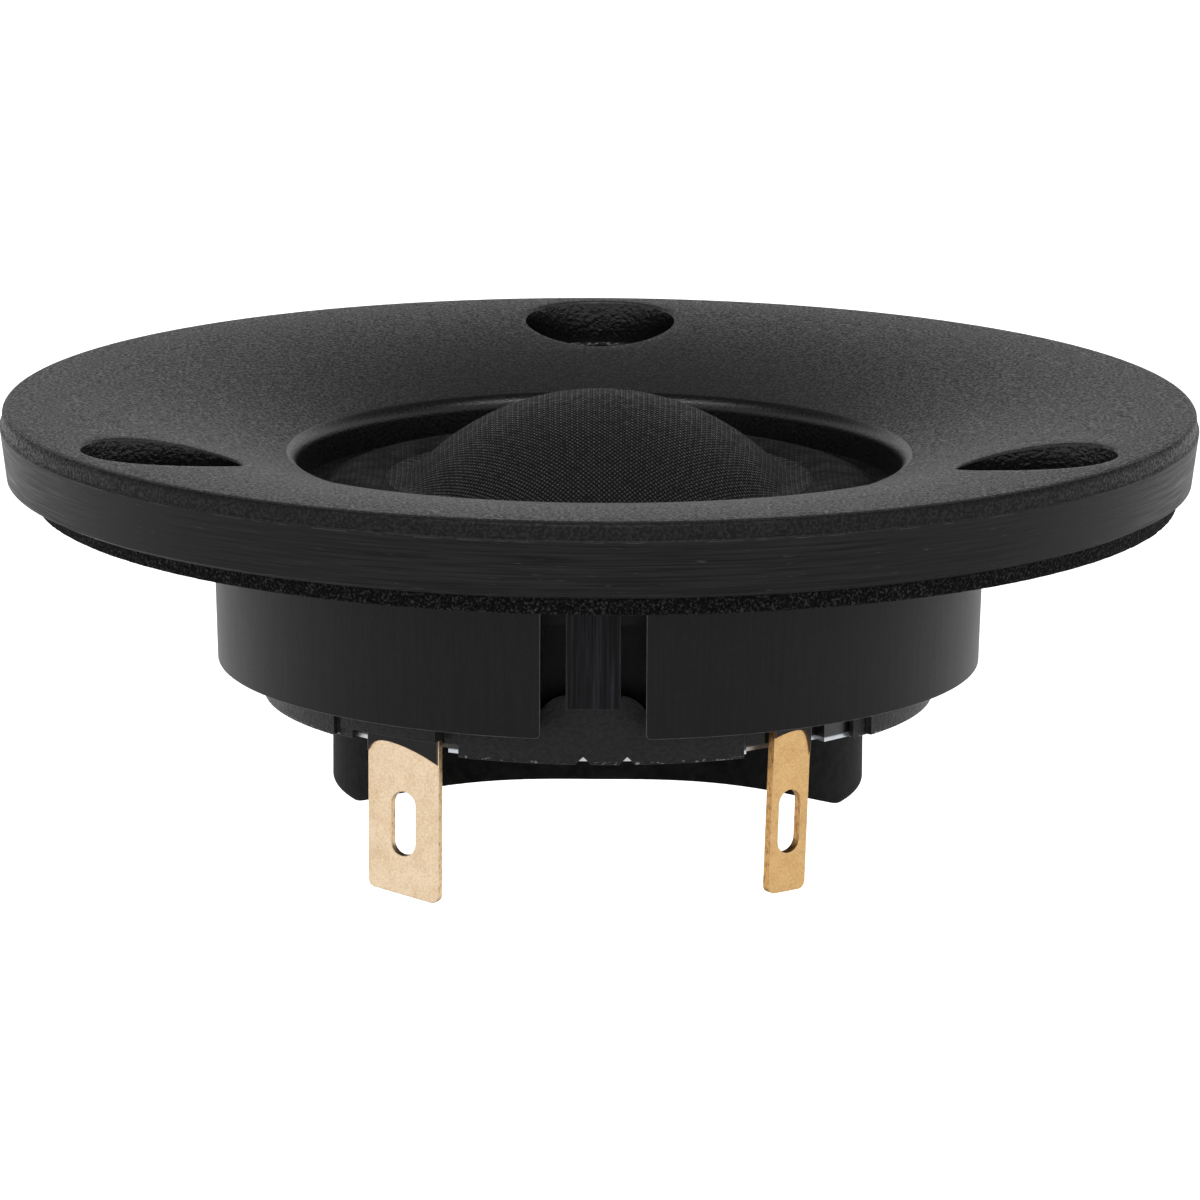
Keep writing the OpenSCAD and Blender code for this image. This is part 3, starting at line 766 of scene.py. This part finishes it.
class BuildHousing(bpy.types.Operator):
    """Makes the slotted housing and the terminal carrier inside it"""
    bl_idname = "tweeter.build_housing"
    bl_label = "Housing and carrier"

    def execute(self, context):
        colours = context.scene.tweeter_colours
        outer, rear, bore_radius = 24.6 * MM, 24.35 * MM, 21.5 * MM
        neck, neck_foot, straight_foot = outer - 0.6 * MM, -1.4 * MM, -3.2 * MM
        bottom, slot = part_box("housing")[0].z, 3.25 * MM
        section = [(bore_radius, 0), (neck, 0), (neck, neck_foot), (outer, neck_foot),
                   (outer, straight_foot), (rear, bottom), (bore_radius, bottom)]
        gap, askew = math.asin(slot / outer), math.radians(-0.7)
        bm = bmesh.new()
        spin_section(bm, section, 180, turn=math.tau - 2 * gap, start=gap)

        # The slot's two sides are made parallel, and the slot is turned to the terminal side
        same_angle = 1e-4
        for v in bm.verts:
            if math.isclose(abs(math.atan2(v.co.y, v.co.x)), gap, abs_tol=same_angle):
                out = v.co.xy.length
                v.co.xy = (math.sqrt(out ** 2 - slot ** 2), math.copysign(slot, v.co.y))
        bmesh.ops.rotate(bm, verts=bm.verts, cent=(0, 0, 0),
                         matrix=Matrix.Rotation(askew - math.pi / 2, 3, "Z"))
        bmesh.ops.recalc_face_normals(bm, faces=bm.faces)
        side, hair = Matrix.Rotation(math.pi / 2 - askew, 3, "Z"), 0.001 * MM
        lower = [e for e in bm.edges if all(abs(v.co.z - bottom) < hair and
                                            abs(abs((side @ v.co).y) - slot) < hair
                                            for v in e.verts)]
        round_edges(bm, lower, 0.45 * MM, 5)
        edge_highlight = edge_highlight_pbt()
        # The rounded edges get the painted edge highlight
        for face in round_edges(bm, edges_over(bm, 35), 0.1 * MM, 3):
            face.material_index = 1
        piece = make_piece(bm, "housing_slotted", [moulded_pbt(colours), edge_highlight])
        settle(piece, "root", "housing", "housing")

        # The locating rib is the part of the carrier that shows in the slot
        rib_foot, rib_front = -9.8 * MM, -21.5 * MM
        bm = cad_copy("terminal_carrier")
        for face in bm.faces:
            middle = face.calc_center_median()
            face.material_index = 2 if middle.z > rib_foot and middle.y < rib_front else 0
        piece = make_piece(bm, "terminal_carrier_moulded",
                           [cast_pbt(colours), edge_highlight, scratched_pbt()])
        # The carrier's rounded edges get the painted edge highlight
        soften(piece, 0.07 * MM, finish=1)
        settle(piece, "root", "carrier", "terminal_carrier")
        return {"FINISHED"}


class BuildTerminals(bpy.types.Operator):
    """Makes the two gold-plated tabs and the lacquer at their roots"""
    bl_idname = "tweeter.build_terminals"
    bl_label = "Terminals"

    def execute(self, context):
        colours = context.scene.tweeter_colours
        for side, slot, ground in (("positive", "tab_pale_gold", colours.gold_pale),
                                   ("negative", "tab_gold", colours.gold_deep)):
            bm = cad_copy("terminal_" + side)
            flat, aligned = max(bm.faces, key=lambda face: face.calc_area()).normal, 0.7
            for face in bm.faces:
                face.material_index = int(abs(face.normal.dot(flat)) < aligned)
            piece = make_piece(bm, "tab_" + side, [
                plated_brass("brass gold flashed " + side, ground),
                sheared_brass("brass sheared " + side, ground)])
            soften(piece, 0.06 * MM, 3, finish=0)
            settle(piece, "root", slot, "terminal_" + side)
        piece = make_piece(cad_copy("terminal_sealant"), "tab_lacquer",
                           [lacquer(colours), thin_lacquer()], smooth=45)
        soften(piece, 0.08 * MM, 3, finish=1)
        settle(piece, "root", "sealant", "terminal_sealant")
        return {"FINISHED"}


class BuildChamber(bpy.types.Operator):
    """Makes the rear chamber and the wadding inside it"""
    bl_idname = "tweeter.build_chamber"
    bl_label = "Rear chamber"

    def execute(self, context):
        colours = context.scene.tweeter_colours
        piece = make_piece(cad_copy("rear_chamber"), "rear_chamber_arched", [satin_abs(colours)],
                           smooth=25)
        soften(piece, 0.5 * MM, 4, 30)
        settle(piece, "root", "rear_chamber", "rear_chamber")
        # Polyester wadding, carded: soft white fibres
        fluff = plain_dull("polyester wadding", paint("#c9c7c0"), paint("#efede6"), 0.95, 0.4, 0.1)
        # Wool felt, pressed: grey matted fibres
        felt = plain_dull("wool felt pressed", paint("#3c3c3c"), paint("#666664"), 0.95, 0.15, 0.05)
        for name, source, slot, finish in (
                ("chamber_wadding_soft", "chamber_wadding", "wadding", fluff),
                ("pole_felt_pad", "pole_felt", "felt", felt)):
            piece = make_piece(cad_copy(source), name, [finish])
            soften(piece, 0.2 * MM, 3)
            settle(piece, "root", slot, source)
        return {"FINISHED"}


class BuildDiaphragm(bpy.types.Operator):
    """Makes the woven dome, the surround in sectors, and the leads"""
    bl_idname = "tweeter.build_diaphragm"
    bl_label = "Diaphragm"

    def execute(self, context):
        sizes, colours = context.scene.tweeter_sizes, context.scene.tweeter_colours
        coil, thick, radius = 12.5 * MM, 0.3 * MM, sizes.dome_radius
        base, clamp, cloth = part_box("dome")[0].z, -0.8 * MM, 0.25 * MM
        centre = (0, base - math.sqrt(radius ** 2 - coil ** 2))
        rise_in = math.degrees(math.asin((base - centre[1]) / (radius - thick)))

        # The surround is a half roll between the coil's radius and a flat clamped rim
        foot_in, foot_out, roll, rim = coil, 18 * MM, 1.05 * MM, 20.5 * MM
        half = (foot_out - foot_in) / 2
        bend = (half ** 2 + roll ** 2) / (2 * roll)
        sweep = math.degrees(math.asin(half / bend))
        middle = (foot_in + half, clamp + roll - bend)

        # A skirt carries the dome's cloth in a curve onto the roll
        leaves, lands, proud = 11.7 * MM, 13.6 * MM, 0.02 * MM
        leave = math.degrees(math.acos(leaves / radius))
        land = math.degrees(math.acos((lands - middle[0]) / bend))
        skirt = curve_between(arc(centre, radius, leave, leave, 1)[0], leave,
                              arc(middle, bend + proud, land, land, 1)[0], land, 10)
        crown = arc(centre, radius, 90, leave, 60) + skirt[1:]
        skin = crown + arc(middle, bend, land - 1, 90 - sweep, 20) + [(rim, clamp)]
        hem, tuck = (lands - 0.1 * MM, skirt[-1][1] - 0.1 * MM), (coil + 0.1 * MM, clamp)
        section = crown + [hem, tuck] + arc(centre, radius - thick, rise_in, 90, 30)
        bm = bmesh.new()
        spin_section(bm, section, 240, closed=False)
        lay_threads(bm, skin, sizes.thread_pitch)
        piece = make_piece(bm, "dome_woven", [woven_cloth(colours)])
        settle(piece, "diaphragm", "dome", "dome")

        # The surround flexes along its radius; it is made in sectors
        under = clamp - cloth
        section = arc(middle, bend, 90 + sweep, 90 - sweep, 24)
        section += [(foot_out + 0.8 * MM, clamp), (rim, clamp), (rim, under), (foot_out, under)]
        section += arc(middle, bend - cloth, 90 - sweep + 2, 90 + sweep - 2, 18)
        section += [(foot_in, under)]
        finish = coated_cloth(colours)
        step = math.tau / sizes.surround_sectors
        for i in range(sizes.surround_sectors):
            bm = bmesh.new()
            spin_section(bm, section, 24, turn=step, start=i * step)
            lay_threads(bm, skin, sizes.thread_pitch)
            piece = make_piece(bm, f"surround_{i + 1:02d}", [finish])
            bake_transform(piece)
            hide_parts("surround")

        # Tinsel braid, soft copper: warm and slightly dull
        braid, swing = plain_metal("tinsel copper braid", paint("#b87d4e"), 0.4, 0.1), 35
        for side, sign in (("positive", -1), ("negative", 1)):
            piece = make_piece(cad_copy("lead_wire_" + side), "lead_ribbon_" + side, [braid])
            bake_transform(piece)
            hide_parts("lead_wire_" + side)
        return {"FINISHED"}


class FinishInnerParts(bpy.types.Operator):
    """Gives the motor and the small inner parts their finishes"""
    bl_idname = "tweeter.finish_inner_parts"
    bl_label = "Motor and inner parts"

    def execute(self, context):
        # Strontium ferrite, pressed and sintered: dark grey with a fine sandy grain
        ferrite = plain_dull("ferrite sintered", paint("#0f0f10"), paint("#1d1d1f"), 0.7, 0.12)
        # Copper wire with clear enamel, wound tight: fine bright turns round the axis
        winding = plain_metal("copper wire enamelled", paint("#b36a35"), 0.28, 0.16, (40, 40, 1))
        # Aluminium foil, rolled: bright with faint rolling lines
        foil = plain_metal("aluminium foil rolled", paint("#c8cbcf"), 0.3, 0.2, (30, 30, 1))
        # Tin solder, melted and set: bright and slightly uneven
        tin = plain_metal("tin solder", paint("#c2c5c8"), 0.25, 0.3)
        # Nitrile rubber, moulded: dull black
        rubber = plain_dull("nitrile rubber", paint("#131313"), paint("#1f1f1f"), 0.75, 0.2, 0.01)
        # ABS moulded plain: dark satin
        ring = plain_dull("ABS moulded plain black", paint("#0e0e0f"), paint("#18181a"), 0.5, 0.3,
                          0.01)
        # Steel, black phosphated: dull dark grey
        phosphated = plain_dull("steel phosphated black", paint("#0d0d0d"), paint("#1a1a1a"), 0.6,
                                0.15, 0.01)
        finishes = {
            # Above that height the back plate is painted black: painted shade
            "back_plate": zinc_plated("steel zinc plated, painted shade above", -13.6),
            "pole_piece": zinc_plated("steel zinc plated", 0),
            "top_plate": phosphated, "magnet": ferrite, "voice_coil": winding,
            "coil_former": foil, "solder_positive": tin, "solder_negative": tin,
            "chamber_seal": rubber, "diaphragm_ring": ring}
        for name, finish in finishes.items():
            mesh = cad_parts[name].data
            mesh.materials.clear()
            mesh.materials.append(finish)
        return {"FINISHED"}


# ---------- panel and registration ----------

OPERATORS = (BuildStage, BuildFaceplate, BuildGasket, BuildHousing, BuildTerminals, BuildChamber,
             BuildDiaphragm, FinishInnerParts)


class TweeterPanel(bpy.types.Panel):
    """Buttons for each group of pieces, with their sizes and colours"""
    bl_idname = "VIEW3D_PT_tweeter"
    bl_label = "Car Tweeter"
    bl_space_type = "VIEW_3D"
    bl_region_type = "UI"
    bl_category = "Tweeter"

    def draw(self, context):
        for kind in OPERATORS:
            self.layout.operator(kind.bl_idname)
        for group in (context.scene.tweeter_sizes, context.scene.tweeter_colours):
            for name in group.__annotations__:
                self.layout.prop(group, name)


CLASSES = (TweeterSizes, TweeterColours, *OPERATORS, TweeterPanel)


def register():
    for kind in CLASSES:
        bpy.utils.register_class(kind)
    bpy.types.Scene.tweeter_sizes = PointerProperty(type=TweeterSizes)
    bpy.types.Scene.tweeter_colours = PointerProperty(type=TweeterColours)


def unregister():
    del bpy.types.Scene.tweeter_colours
    del bpy.types.Scene.tweeter_sizes
    for kind in reversed(CLASSES):
        bpy.utils.unregister_class(kind)


def main():
    register()
    for kind in OPERATORS:
        group, name = kind.bl_idname.split(".")
        getattr(getattr(bpy.ops, group), name)()


if __name__ == "__main__":
    main()
